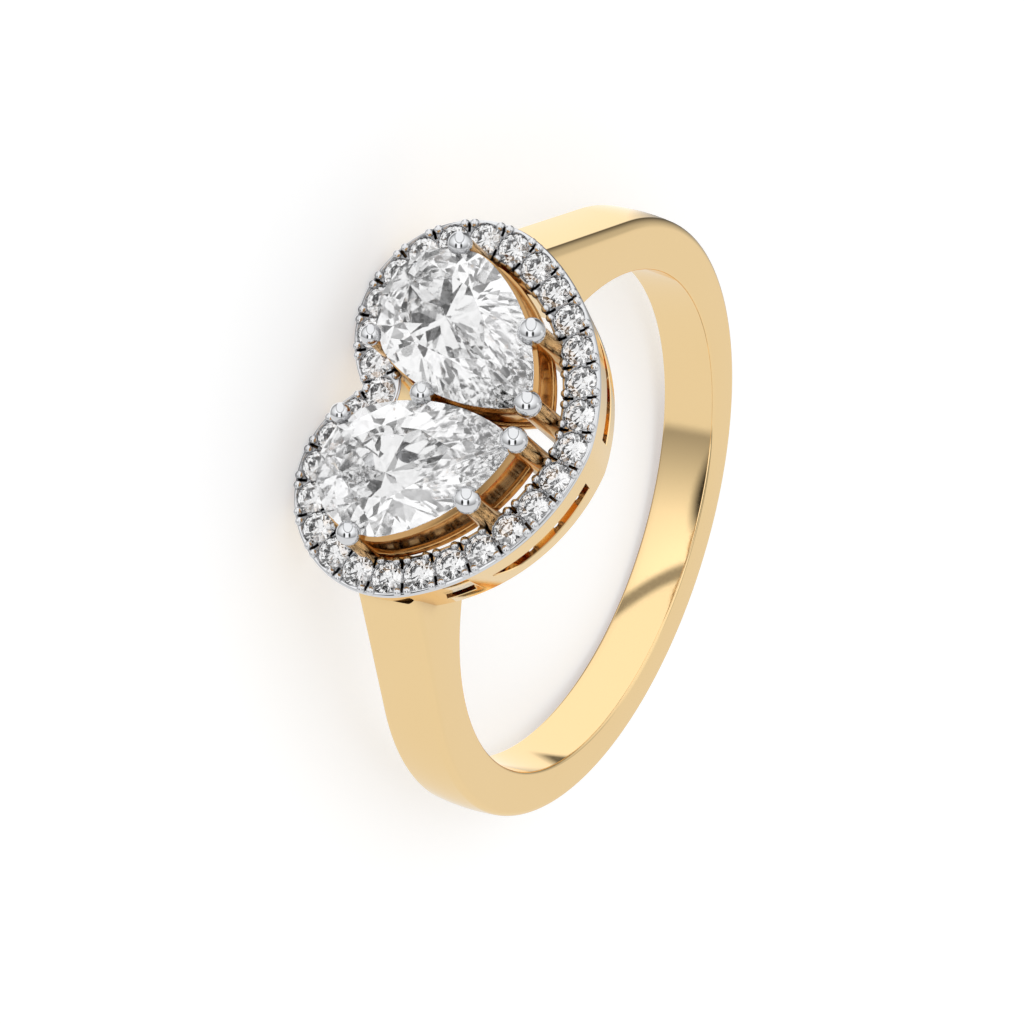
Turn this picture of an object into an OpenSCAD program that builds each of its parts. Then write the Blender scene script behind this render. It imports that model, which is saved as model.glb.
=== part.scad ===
// Halo ring with two pear-cut stones set side by side, lying on its side as it rests by itself.
// The modules draw it in the ring's own directions: X across the finger, Y along it,
// Z from the finger's centre to the stones. lay_down() then tips the whole ring onto its side.

/* [Hoop] */
// Inner diameter of the hoop, which is the ring's size
finger_d = 17.3; // [16.5:0.1:18.2]
// Thickness of the hoop opposite the stones
hoop_t_back = 1.4; // [1.1:0.05:1.6]
// Thickness of the hoop at its sides
hoop_t_side = 1.7; // [1.5:0.05:1.8]
// Width of the hoop along the finger, opposite the stones
hoop_w_back = 1.88; // [1.4:0.02:2]
// Width of the hoop along the finger, where its arms meet the head
hoop_w_head = 2.3; // [2:0.05:2.6]
// Angle from the stones down to where the hoop's shoulders leave its round
shoulder_angle = 62; // [58:1:66]
// Half the distance between the arms' outer corners under the halo
arm_out = 6.34; // [6.1:0.02:6.4]
// Half the clear distance between the two arms' ends
arm_in = 4.72; // [4.5:0.02:4.9]

/* [Halo outline] */
// Distance of each lobe's centre from the ring's middle
lobe_x = 2.77; // [2.7:0.01:2.9]
// Place of the lobes' centres along the finger
lobe_y = -0.33; // [-0.4:0.01:-0.2]
// Radius of the lobes
lobe_r = 3.79; // [3.7:0.01:3.9]
// Radius of the long flanks that run from the lobes to the tip
flank_r = 7.25; // [7:0.05:8]
// Place of the tip along the finger
tip_y = 5.56; // [5.5:0.01:5.7]
// Radius of the rounded tip
tip_r = 1.5; // [1.4:0.05:2]
// Radius at the bottom of the cleft between the lobes
cleft_r = 0.12; // [0.05:0.01:0.3]

/* [Halo] */
// Width of the halo's band
halo_w = 1.3; // [1.25:0.01:1.4]
// Thickness of the halo's white plate
plate_t = 0.15; // [0.1:0.01:0.2]
// Number of small round stones round the halo
halo_stones_n = 30; // [28:2:30]
// Diameter of the small round stones
halo_stone_d = 0.96; // [0.9:0.01:0.96]
// Distance from the halo's outer edge to the middle of its stones
stone_row_in = 0.66; // [0.64:0.01:0.68]
// How far the stones are drawn towards the cleft, as a share of the step between them
row_lean = 0.13; // [0:0.01:0.13]

/* [Gallery] */
// Height of the rail under the gallery's slots
rail_h = 0.77; // [0.7:0.01:0.8]
// Height of the slots
slot_h = 0.69; // [0.6:0.01:0.7]
// How far the gallery's outer wall draws in from the halo down to its foot
gallery_taper = 0.44; // [0.3:0.02:0.46]
// Diameter of the light hole behind each small stone
light_hole_d = 0.44; // [0.36:0.02:0.46]
// Distance from the halo's outer edge to the middle of the light holes
light_row_in = 0.74; // [0.72:0.01:0.76]

/* [Pear stones] */
// Length of the pear stones
pear_len = 6.98; // [6.9:0.01:7.05]
// Width of the pear stones
pear_w = 4.57; // [4.5:0.01:4.6]
// Angle between the stones' long axes and the finger's direction
pear_turn = 27.1; // [26.5:0.1:28]
// Distance of the centre of the stones' round ends from the ring's middle
pear_x = 2.765; // [2.76:0.005:2.8]
// Place of the centre of the stones' round ends along the finger
pear_y = -0.39; // [-0.42:0.01:-0.36]
// Height of the crown above the girdle
crown_h = 0.6; // [0.5:0.05:0.65]
// Depth of the pavilion below the girdle
pavilion_h = 1.95; // [1.8:0.05:2]

/* [Baskets] */
// Height of the seat wall under each pear stone
basket_h = 1.9; // [1.7:0.05:2]
// Thickness of the seat wall
basket_t = 0.36; // [0.3:0.02:0.45]
// Height of the rail round the foot of the seat wall
basket_rail_h = 0.34; // [0.25:0.01:0.4]
// How far that rail stands out
basket_rail_out = 0.12; // [0.1:0.01:0.14]
// How far the seat wall ends below the stone's girdle
basket_drop = 0.07; // [0.05:0.01:0.1]

/* [Hidden] */
$fn = 48;

// Gap left between pieces that are set in one another
fit_gap = 0.03;
// Angle between the points of a round stretch of an outline
arc_step = 6;

// Heights above the finger's centre
finger_r = finger_d / 2;
back_r = finger_r + hoop_t_back;
side_r = finger_r + hoop_t_side;
rail_z = finger_r + 0.1;
slot_z = rail_z + rail_h;
shaft_foot_z = slot_z - 0.2;
arm_top_z = finger_r + 1.7;
plate_top_z = finger_r + 2.75;
plate_z = plate_top_z - plate_t;
halo_girdle_z = plate_top_z - 0.06;
small_girdle_half = 0.015;
girdle_z = finger_r + 4.37;
girdle_t = 0.08;
basket_z = girdle_z - basket_h;
ball_z = girdle_z + 0.2;

// Each prong's place, the diameter of its round tip and that of its shaft
PRONG_X = 0;
PRONG_Y = 1;
PRONG_TIP_D = 2;
PRONG_SHAFT_D = 3;
side_prongs = [
    [5.12, -0.61, 0.82, 0.72],
    [2.97, 2.95, 0.93, 0.80],
    [0.632, 3.755, 0.93, 0.80],
    [1.39, -2.44, 0.71, 0.56],
];
middle_prong = [0, 0.05, 0.80, 0.68];
mirrored_prongs = [for (p = side_prongs) [-p[PRONG_X], p[PRONG_Y], p[PRONG_TIP_D], p[PRONG_SHAFT_D]]];
prongs = concat(side_prongs, mirrored_prongs, [middle_prong]);

// The tilt at which the hoop's back edge and the plate's lobes touch the floor together
rest_tilt = atan((lobe_r - lobe_y - hoop_w_back / 2) / (plate_z + back_r));
rest_z = hoop_w_back / 2 * cos(rest_tilt) + back_r * sin(rest_tilt);
rest_back_y = hoop_w_back / 2 * sin(rest_tilt) + back_r * cos(rest_tilt);
lowest_tip = side_prongs[3];
rest_front_y = ball_z * cos(rest_tilt) - lowest_tip[PRONG_Y] * sin(rest_tilt) + lowest_tip[PRONG_TIP_D] / 2;
rest_y = (rest_front_y - rest_back_y) / 2;

// A point at a distance and an angle from a centre
function polar(centre, radius, angle) = centre + radius * [cos(angle), sin(angle)];

// Points along an arc, both ends included
function arc(centre, radius, from, to) =
    let (steps = max(2, ceil(abs(to - from) / arc_step)))
    [for (i = [0:steps]) polar(centre, radius, from + (to - from) * i / steps)];

// Drops each point that repeats the one before it
function without_repeats(points) =
    [for (i = [0:len(points) - 1]) if (i == 0 || norm(points[i] - points[i - 1]) > 0.001) points[i]];

// The halo's four arcs: cleft, lobe, flank and tip, each tangent to the next
lobe_c = [lobe_x, lobe_y];
cleft_c = [0, lobe_y - sqrt(pow(lobe_r + cleft_r, 2) - lobe_x * lobe_x)];
tip_c = [0, tip_y - tip_r];
lobe_to_tip = norm(tip_c - lobe_c);
along_tip = (tip_c - lobe_c) / lobe_to_tip;
flank_shift = (pow(flank_r - lobe_r, 2) - pow(flank_r - tip_r, 2) + pow(lobe_to_tip, 2)) / (2 * lobe_to_tip);
flank_off = sqrt(pow(flank_r - lobe_r, 2) - flank_shift * flank_shift);
flank_c = lobe_c + flank_shift * along_tip + flank_off * [-along_tip[1], along_tip[0]];
cleft_a = atan2(cleft_c[1] - lobe_c[1], cleft_c[0] - lobe_c[0]);
lobe_a = atan2(lobe_c[1] - flank_c[1], lobe_c[0] - flank_c[0]);
flank_a = atan2(tip_c[1] - flank_c[1], tip_c[0] - flank_c[0]);

// Right half of the halo's outline from cleft to tip, moved outwards by grow
function halo_half(grow) = without_repeats(concat(
    arc(cleft_c, cleft_r - grow, 90, cleft_a + 180),
    arc(lobe_c, lobe_r + grow, cleft_a, lobe_a),
    arc(flank_c, flank_r + grow, lobe_a, flank_a),
    arc(tip_c, tip_r + grow, flank_a, 90)
));

// Whole outline: the right half, then its mirror image back to the cleft
function halo_outline(grow) =
    let (half = halo_half(grow), last = len(half) - 1)
    concat(half, [for (i = [last - 1:-1:1]) [-half[i][0], half[i][1]]]);

// Lengths of the four arcs along the middle of the stone row, added up
row_cleft = (cleft_r + stone_row_in) * (-90 - cleft_a) * PI / 180;
row_lobe = row_cleft + (lobe_r - stone_row_in) * (lobe_a - cleft_a) * PI / 180;
row_flank = row_lobe + (flank_r - stone_row_in) * (flank_a - lobe_a) * PI / 180;
row_half = row_flank + (tip_r - stone_row_in) * (90 - flank_a) * PI / 180;

// A point beside the stone row at a length from the cleft and a distance from the outline, on the right half
function row_point(s, inset) =
    s < row_cleft ? polar(cleft_c, cleft_r + inset,
        90 - s / (cleft_r + stone_row_in) * 180 / PI)
    : s < row_lobe ? polar(lobe_c, lobe_r - inset,
        cleft_a + (s - row_cleft) / (lobe_r - stone_row_in) * 180 / PI)
    : s < row_flank ? polar(flank_c, flank_r - inset,
        lobe_a + (s - row_lobe) / (flank_r - stone_row_in) * 180 / PI)
    : polar(tip_c, tip_r - inset,
        flank_a + (s - row_flank) / (tip_r - stone_row_in) * 180 / PI);

// Places along the row: one in the cleft, one at the tip and the rest in mirrored pairs
row_pairs = halo_stones_n / 2;
function row_step(i) = row_half * (i - row_lean * sin(180 * i / row_pairs)) / row_pairs;
function row_right(inset) = [for (i = [1:row_pairs - 1]) row_point(row_step(i), inset)];
function row_ends(inset) = [row_point(0, inset), row_point(row_half, inset)];
function row_places(inset) =
    let (right = row_right(inset))
    concat(row_ends(inset), right, [for (p = right) [-p[0], p[1]]]);
stone_places = row_places(stone_row_in);
light_places = row_places(light_row_in);

// Outline of a pear stone: a half circle and two long arcs that meet at the point
pear_a = pear_w / 2;
pear_l = pear_len - pear_a;
pear_arc_r = (pear_l * pear_l + pear_a * pear_a) / (2 * pear_a);
function pear_half_width(u, grow) = sqrt(pow(pear_arc_r + grow, 2) - u * u) - (pear_arc_r - pear_a);
function pear_reach(grow) = sqrt(pow(pear_arc_r + grow, 2) - pow(pear_arc_r - pear_a, 2));
function pear_side(grow, steps, side) =
    [for (i = [1:steps - 1]) let (u = pear_reach(grow) * i / steps) [u, side * pear_half_width(u, grow)]];
function reversed(points) = [for (i = [len(points) - 1:-1:0]) points[i]];

// The outline, anticlockwise from the point, with the same number of steps on each long arc
function pear_outline(grow, steps) = concat(
    [[pear_reach(grow), 0]],
    reversed(pear_side(grow, steps, 1)),
    [for (i = [0:2 * steps]) polar([0, 0], pear_a + grow, 90 + 90 * i / steps)],
    pear_side(grow, steps, -1)
);

module round_hole(place, diameter, from_z, to_z) {
    translate([place[0], place[1], from_z])
        cylinder(h = to_z - from_z, d = diameter);
}

// Tips the ring from its own directions onto its side, on the floor and centred
module lay_down() {
    translate([0, rest_y, rest_z])
        rotate([90 - rest_tilt, 0, 0])
            children();
}

// Puts a pear stone's directions in place: the right one with side 1, the left one with side -1
module at_pear(side) {
    mirror([side < 0 ? 1 : 0, 0, 0])
        translate([pear_x, pear_y, girdle_z])
            rotate([0, 0, 90 + pear_turn])
                children();
}

// A block with the halo's outline, moved outwards by a different amount at its foot and its top
module halo_block(foot_grow, top_grow, from_z, to_z) {
    foot = halo_outline(foot_grow);
    top = halo_outline(top_grow);
    count = len(foot);
    polyhedron(
        points = concat([for (p = foot) concat(p, from_z)], [for (p = top) concat(p, to_z)]),
        faces = concat(
            [[for (i = [0:count - 1]) i]],
            [[for (i = [count - 1:-1:0]) count + i]],
            [for (i = [0:count - 1]) let (n = (i + 1) % count) [count + i, count + n, n, i]]
        )
    );
}

// The space inside the halo's band
module halo_inside(from_z, to_z) {
    translate([0, 0, from_z])
        linear_extrude(height = to_z - from_z)
            polygon(halo_outline(-halo_w));
}

// The room for one small stone: a cone round its pavilion and a round hole above its girdle
module small_seat(place, to_z) {
    seat_d = halo_stone_d + 2 * fit_gap;
    seat_depth = 0.47;
    point_d = 0.1;
    translate([place[0], place[1], halo_girdle_z - small_girdle_half - seat_depth])
        cylinder(h = seat_depth, d1 = point_d, d2 = seat_d);
    round_hole(place, seat_d, halo_girdle_z - small_girdle_half, to_z);
}

// Faces of a stone with 16 points round its girdle: the table, eight stars and kites, then the pavilion
function gem_faces() =
    let (table = 0, star = 8, top = 16, bottom = 32, low = 48, culet = 56)
    concat(
        [[for (i = [7:-1:0]) table + i]],
        [for (i = [0:7]) let (n = (i + 1) % 8) [table + i, table + n, star + i]],
        [for (i = [0:7]) [table + i, star + i, top + 2 * i]],
        [for (i = [0:7]) [table + i, top + 2 * i, star + (i + 7) % 8]],
        [for (i = [0:7]) [star + i, top + 2 * i + 1, top + 2 * i]],
        [for (i = [0:7]) [star + i, top + (2 * i + 2) % 16, top + 2 * i + 1]],
        [for (j = [0:15]) let (n = (j + 1) % 16) [top + j, top + n, bottom + n, bottom + j]],
        [for (i = [0:7]) [low + i, bottom + 2 * i, bottom + 2 * i + 1]],
        [for (i = [0:7]) [low + i, bottom + 2 * i + 1, bottom + (2 * i + 2) % 16]],
        [for (i = [0:7]) [culet, bottom + 2 * i, low + i]],
        [for (i = [0:7]) [culet, low + (i + 7) % 8, bottom + 2 * i]]
    );

// A pear brilliant with its girdle's lower edge at height 0, moved outwards by grow
module pear_gem(grow) {
    outline = pear_outline(grow, 4);
    table_scale = 0.56;
    star_scale = 0.8;
    star_rise = 0.62;
    low_scale = 0.24;
    low_drop = 0.8;
    top_z = girdle_t + crown_h + grow;
    low_z = pavilion_h + grow;
    gem_points = concat(
        [for (i = [0:7]) concat(table_scale * outline[2 * i], top_z)],
        [for (i = [0:7]) concat(star_scale * outline[2 * i + 1], girdle_t + (top_z - girdle_t) * star_rise)],
        [for (p = outline) concat(p, girdle_t + grow)],
        [for (p = outline) concat(p, -grow)],
        [for (i = [0:7]) concat(low_scale * outline[2 * i + 1], -low_z * low_drop)],
        [[0, 0, -low_z]]
    );
    polyhedron(points = gem_points, faces = gem_faces());
}

// A round stone with an eight-sided table, its girdle's middle at height 0
module round_gem(diameter) {
    table_z = 0.16 * diameter;
    culet_z = 0.42 * diameter;
    table_d = 0.58 * diameter;
    ring = [for (i = [0:7]) [cos(45 * i), sin(45 * i)]];
    polyhedron(
        points = concat(
            [for (p = ring) concat(p * table_d / 2, table_z)],
            [for (p = ring) concat(p * diameter / 2, small_girdle_half)],
            [for (p = ring) concat(p * diameter / 2, -small_girdle_half)],
            [[0, 0, -culet_z]]
        ),
        faces = concat(
            [[for (i = [7:-1:0]) i]],
            [for (i = [0:7]) let (n = (i + 1) % 8) [i, n, 8 + n, 8 + i]],
            [for (i = [0:7]) let (n = (i + 1) % 8) [8 + i, 8 + n, 16 + n, 16 + i]],
            [for (i = [0:7]) [24, 16 + i, 16 + (i + 1) % 8]]
        )
    );
}

// The hoop: round outside, with straight shoulders up to the halo and open under the stones
module hoop() {
    lift = (side_r * side_r - back_r * back_r) / (2 * back_r);
    round_r = back_r + lift;
    shoulder_sink = 0.02;
    shoulder = polar([0, lift], round_r - shoulder_sink, 90 - shoulder_angle);
    width_slope = (hoop_w_head - hoop_w_back) / 2 / (arm_top_z + back_r);
    difference() {
        intersection() {
            rotate([90, 0, 0]) {
                translate([0, lift, 0])
                    cylinder(h = 2 * hoop_w_head, r = round_r, center = true, $fn = 96);
                for (side = [-1, 1]) {
                    linear_extrude(height = 2 * hoop_w_head, center = true)
                        polygon([
                            [side * arm_in, shoulder[1]],
                            [side * shoulder[0], shoulder[1]],
                            [side * arm_out, arm_top_z],
                            [side * arm_in, arm_top_z],
                        ]);
                }
            }
            rotate([90, 0, 90])
                linear_extrude(height = 4 * side_r, center = true)
                    polygon([
                        [-hoop_w_back / 2, -back_r],
                        [hoop_w_back / 2, -back_r],
                        [hoop_w_head / 2 + width_slope, arm_top_z + 1],
                        [-hoop_w_head / 2 - width_slope, arm_top_z + 1],
                    ]);
        }
        rotate([90, 0, 0])
            cylinder(h = 4 * hoop_w_head, r = finger_r, center = true, $fn = 96);
        translate([-arm_in, -hoop_w_head, 0])
            cube([2 * arm_in, 2 * hoop_w_head, 2 * finger_r]);
    }
}

// The pierced wall under the halo: two long slots and two short ones on the near side
module gallery() {
    long_slot = [0.76, 4.55];
    short_slot = [5.0, 5.6];
    slot_back_y = 1.2;
    difference() {
        halo_block(-gallery_taper, 0, rail_z, plate_z - fit_gap);
        halo_inside(rail_z - 1, plate_top_z);
        for (side = [-1, 1]) {
            for (slot = [long_slot, short_slot]) {
                mirror([side < 0 ? 1 : 0, 0, 0])
                    translate([slot[0], slot_back_y, slot_z])
                        cube([slot[1] - slot[0], tip_y, slot_h]);
            }
        }
        for (place = light_places) {
            round_hole(place, light_hole_d, rail_z - 1, plate_top_z);
        }
    }
}

// The seat wall under one pear stone, with a rail round its foot
module basket(side) {
    outline_steps = 12;
    at_pear(side)
        translate([0, 0, -basket_h]) {
            linear_extrude(height = basket_h - basket_drop)
                difference() {
                    polygon(pear_outline(0, outline_steps));
                    polygon(pear_outline(-basket_t, outline_steps));
                }
            linear_extrude(height = basket_rail_h)
                difference() {
                    polygon(pear_outline(basket_rail_out, outline_steps));
                    polygon(pear_outline(-basket_t, outline_steps));
                }
        }
}

// Height at which a prong's shaft ends inside its round tip
function shaft_top(p) = ball_z - sqrt(pow(p[PRONG_TIP_D], 2) - pow(p[PRONG_SHAFT_D], 2)) / 2;

// All soldered yellow gold: hoop, gallery, baskets and prong shafts, notched over the small stones
module gold_mount() {
    notch_h = 0.4;
    color([0.90, 0.72, 0.46])
        lay_down()
            difference() {
                union() {
                    hoop();
                    gallery();
                    basket(1);
                    basket(-1);
                    for (p = prongs) {
                        round_hole(p, p[PRONG_SHAFT_D], shaft_foot_z, shaft_top(p));
                    }
                }
                for (place = stone_places) {
                    small_seat(place, halo_girdle_z + notch_h);
                }
                at_pear(1)
                    pear_gem(fit_gap);
                at_pear(-1)
                    pear_gem(fit_gap);
            }
}

// The white plate of the halo, bored for its stones and notched round the prongs
module halo_plate() {
    color([0.86, 0.87, 0.89])
        lay_down()
            difference() {
                translate([0, 0, plate_z])
                    linear_extrude(height = plate_t)
                        polygon(halo_outline(0));
                halo_inside(plate_z - 1, plate_top_z + 1);
                for (place = stone_places) {
                    small_seat(place, plate_top_z + 1);
                }
                for (p = prongs) {
                    round_hole(p, p[PRONG_SHAFT_D] + 2 * fit_gap, plate_z - 1, plate_top_z + 1);
                }
            }
}

// The row of small round stones in the halo
module halo_stones() {
    color([0.93, 0.95, 0.98])
        lay_down()
            for (place = stone_places) {
                translate([place[0], place[1], halo_girdle_z])
                    round_gem(halo_stone_d);
            }
}

// One pear stone in its seat
module pear_stone(side) {
    color([0.95, 0.97, 1.0])
        lay_down()
            at_pear(side)
                pear_gem(0);
}

// The round white tip of one prong, cut away where it holds a stone
module prong_tip(p) {
    tip_r = p[PRONG_TIP_D] / 2;
    color([0.84, 0.85, 0.87])
        lay_down()
            difference() {
                intersection() {
                    translate([p[PRONG_X], p[PRONG_Y], ball_z])
                        sphere(r = tip_r);
                    translate([p[PRONG_X] - 1, p[PRONG_Y] - 1, shaft_top(p) + fit_gap])
                        cube([2, 2, 2]);
                }
                if (p[PRONG_X] >= 0) {
                    at_pear(1)
                        pear_gem(fit_gap);
                }
                if (p[PRONG_X] <= 0) {
                    at_pear(-1)
                        pear_gem(fit_gap);
                }
            }
}

gold_mount();
halo_plate();
halo_stones();
pear_stone(-1);  // pear_stone_left
pear_stone(1);  // pear_stone_right
prong_tip(prongs[0]);  // prong_tip_1
prong_tip(prongs[1]);  // prong_tip_2
prong_tip(prongs[2]);  // prong_tip_3
prong_tip(prongs[3]);  // prong_tip_4
prong_tip(prongs[4]);  // prong_tip_5
prong_tip(prongs[5]);  // prong_tip_6
prong_tip(prongs[6]);  // prong_tip_7
prong_tip(prongs[7]);  // prong_tip_8
prong_tip(prongs[8]);  // prong_tip_9
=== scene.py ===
"""Looks of the halo ring: polished yellow gold, a white-metal halo and brilliant-cut stones."""
import math

import bmesh
import bpy
import numpy as np
from mathutils import Matrix, Vector


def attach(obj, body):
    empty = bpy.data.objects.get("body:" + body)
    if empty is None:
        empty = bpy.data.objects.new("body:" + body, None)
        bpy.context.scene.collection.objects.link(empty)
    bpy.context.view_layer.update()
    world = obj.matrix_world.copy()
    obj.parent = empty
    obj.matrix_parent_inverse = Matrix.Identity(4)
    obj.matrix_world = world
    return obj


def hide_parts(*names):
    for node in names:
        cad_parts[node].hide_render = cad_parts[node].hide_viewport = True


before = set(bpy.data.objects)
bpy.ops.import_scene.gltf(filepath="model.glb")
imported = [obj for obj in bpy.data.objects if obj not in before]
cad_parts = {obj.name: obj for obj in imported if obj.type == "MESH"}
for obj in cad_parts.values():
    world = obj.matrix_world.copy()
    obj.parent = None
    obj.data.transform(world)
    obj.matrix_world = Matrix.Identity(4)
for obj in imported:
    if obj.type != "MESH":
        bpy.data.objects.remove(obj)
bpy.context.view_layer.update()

MM = 0.001

# Sizes are in millimetres: X runs across the finger, Y along it and Z from its centre to the stones

# Hoop: its radii, its width along the finger and the arms' ends
FINGER_R = 8.65
BACK_R = FINGER_R + 1.4
SIDE_R = FINGER_R + 1.7
HOOP_W_BACK = 1.88
HOOP_W_HEAD = 2.3
ARM_OUT = 6.34
ARM_IN = 4.72
# How much deeper the outer edge's rounding is at the arms than at the hoop's sides
SHOULDER_EDGE = 0.3

# Halo outline, made of four arcs on each side
LOBE = np.array([2.77, -0.33])
LOBE_R = 3.79
FLANK_R = 7.25
TIP_R = 1.5
TIP = np.array([0.0, 5.56 - TIP_R])
CLEFT_R = 0.12
HALO_W = 1.3

# Row of small stones: how far in from the outline they and the light holes behind them stand
ROW_IN = 0.66
LIGHT_IN = 0.74
ROW_LEAN = 0.13
ROW_STONES = 30
SMALL_D = 1.045

# Gallery wall: how far its foot stands in, and each slot's first and last X and its lower edge's sag
GALLERY_TAPER = 0.44
SLOTS = [(0.76, 4.55, 0.05), (5.0, 5.6, 0.0)]

# Heights above the finger's centre
RAIL_Z = FINGER_R + 0.1
SLOT_Z = RAIL_Z + 0.77
SLOT_TOP_Z = SLOT_Z + 0.69
ARM_TOP_Z = FINGER_R + 1.7
PLATE_TOP_Z = FINGER_R + 2.75
PLATE_Z = PLATE_TOP_Z - 0.15
SMALL_GIRDLE_Z = PLATE_TOP_Z - 0.06
GIRDLE_Z = FINGER_R + 4.37
BALL_Z = GIRDLE_Z + 0.2
BASKET_Z = GIRDLE_Z - 1.9

# Pear stones: a half circle and two long arcs that meet at the point
PEAR_AT = np.array([2.765, -0.39])
PEAR_TURN = math.radians(90 + 27.1)
PEAR_A = 4.57 / 2
PEAR_L = 6.98 - PEAR_A
PEAR_ARC_R = (PEAR_L ** 2 + PEAR_A ** 2) / (2 * PEAR_A)

# Prongs: place, diameter of the round tip and of the shaft
SIDE_PRONGS = [
    (5.12, -0.61, 0.82, 0.72),
    (2.97, 2.95, 0.93, 0.80),
    (0.632, 3.755, 0.93, 0.80),
    (1.39, -2.44, 0.71, 0.56),
]
MIDDLE_PRONG = (0, 0.05, 0.80, 0.68)
PRONGS = SIDE_PRONGS + [(-x, y, ball, shaft) for x, y, ball, shaft in SIDE_PRONGS] + [MIDDLE_PRONG]

# The ring lies on its side, tipped until the hoop's back edge and the halo's lobes touch the floor
TILT = math.atan((LOBE_R - LOBE[1] - HOOP_W_BACK / 2) / (PLATE_Z + BACK_R))
REST_Z = HOOP_W_BACK / 2 * math.cos(TILT) + BACK_R * math.sin(TILT)
REST_BACK = HOOP_W_BACK / 2 * math.sin(TILT) + BACK_R * math.cos(TILT)
LOW_PRONG_Y, LOW_BALL_D = SIDE_PRONGS[3][1:3]
REST_FRONT = BALL_Z * math.cos(TILT) - LOW_PRONG_Y * math.sin(TILT) + LOW_BALL_D / 2
TURN = Matrix.Rotation(math.pi / 2 - TILT, 4, "X")
LAY = Matrix.Translation((0, (REST_FRONT - REST_BACK) / 2 * MM, REST_Z * MM)) @ TURN @ Matrix.Scale(MM, 4)


# Meshes

def lattice(rows, close_rows=False, close_columns=True):
    """A sheet of quads from rows of points. Returns its points and faces."""
    rows = np.asarray(rows, float)
    n_rows, n_columns = rows.shape[:2]
    faces = []
    for i in range(n_rows if close_rows else n_rows - 1):
        a, b = i * n_columns, (i + 1) % n_rows * n_columns
        for j in range(n_columns if close_columns else n_columns - 1):
            k = (j + 1) % n_columns
            faces.append((a + j, a + k, b + k, b + j))
    return rows.reshape(-1, 3), faces


def mesh_object(name, points, faces):
    """A mesh in the ring's own directions, in millimetres, with its faces turned outwards."""
    mesh = bpy.data.meshes.new(name)
    mesh.from_pydata([tuple(p) for p in points], [], faces)
    bm = bmesh.new()
    bm.from_mesh(mesh)
    bmesh.ops.recalc_face_normals(bm, faces=bm.faces)
    bm.to_mesh(mesh)
    bm.free()
    obj = bpy.data.objects.new(name, mesh)
    bpy.context.scene.collection.objects.link(obj)
    return obj


def joined(parts):
    """Points and faces of several meshes as one."""
    points, faces, count = [], [], 0
    for part_points, part_faces in parts:
        points.append(np.asarray(part_points, float))
        faces += [tuple(i + count for i in face) for face in part_faces]
        count += len(part_points)
    return np.concatenate(points), faces


def carve(obj, cutter):
    """Takes the cutter's shape out of the object, and the cutter away."""
    cut = obj.modifiers.new("cut", "BOOLEAN")
    cut.operation, cut.solver, cut.object = "DIFFERENCE", "EXACT", cutter
    graph = bpy.context.evaluated_depsgraph_get()
    mesh = bpy.data.meshes.new_from_object(obj.evaluated_get(graph))
    obj.modifiers.clear()
    obj.data = mesh
    bpy.data.objects.remove(cutter)


def settle(obj, material, slot, nodes, sharp=32):
    """Lays a mesh in its place and gives it its finish. Edges over the sharp angle stay crisp.

    The gold is left out of what the stones refract, which keeps them white.
    """
    obj.data.transform(LAY)
    obj.data.materials.clear()
    obj.data.materials.append(material)
    obj.data.polygons.foreach_set("use_smooth", [sharp > 0] * len(obj.data.polygons))
    if sharp:
        obj.data.set_sharp_from_angle(angle=math.radians(sharp))
    obj.visible_transmission = slot != "yellow_gold"
    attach(obj, "root")
    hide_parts(*nodes)
    return obj


def unit(angle):
    """The direction at an angle in radians."""
    return np.array([math.cos(angle), math.sin(angle)])


def arc_points(centre, radius, start, end, steps):
    """Points along an arc between two angles in degrees, both ends included."""
    angles = np.radians(np.linspace(start, end, steps + 1))
    return [(centre[0] + radius * math.cos(a), centre[1] + radius * math.sin(a)) for a in angles]


def revolved(profile, place, segments):
    """A closed turned shape from (radius, height) points, the first and last on its axis."""
    around = [unit(2 * math.pi * i / segments) for i in range(segments)]
    rings = [[(place[0] + r * c, place[1] + r * s, z) for c, s in around] for r, z in profile[1:-1]]
    points, faces = lattice(rings)
    ends = [(place[0], place[1], profile[0][1]), (place[0], place[1], profile[-1][1])]
    points = np.concatenate([points, ends])
    last = len(points) - 2 - segments
    for i in range(segments):
        k = (i + 1) % segments
        faces.append((len(points) - 2, i, k))
        faces.append((len(points) - 1, last + k, last + i))
    return points, faces


# The halo's outline

def halo_arcs():
    """The right half's arcs from cleft to tip.

    Each is its centre, radius, side of the arc that the halo lies on, first angle and last angle.
    """
    cleft = np.array([0.0, LOBE[1] - math.sqrt((LOBE_R + CLEFT_R) ** 2 - LOBE[0] ** 2)])
    reach = np.linalg.norm(TIP - LOBE)
    along = (TIP - LOBE) / reach
    shift = ((FLANK_R - LOBE_R) ** 2 - (FLANK_R - TIP_R) ** 2 + reach ** 2) / (2 * reach)
    off = math.sqrt((FLANK_R - LOBE_R) ** 2 - shift ** 2)
    flank = LOBE + shift * along + off * np.array([-along[1], along[0]])
    to_cleft = math.atan2(*(cleft - LOBE)[::-1])
    to_lobe = math.atan2(*(LOBE - flank)[::-1])
    to_tip = math.atan2(*(TIP - flank)[::-1])
    return [
        (cleft, CLEFT_R, -1, math.pi / 2, to_cleft + math.pi),
        (LOBE, LOBE_R, 1, to_cleft, to_lobe),
        (flank, FLANK_R, 1, to_lobe, to_tip),
        (TIP, TIP_R, 1, to_tip, math.pi / 2),
    ]


ARCS = halo_arcs()
ARC_LENGTHS = [(radius - side * ROW_IN) * abs(end - start) for _, radius, side, start, end in ARCS]
ROW_HALF = sum(ARC_LENGTHS)


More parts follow.
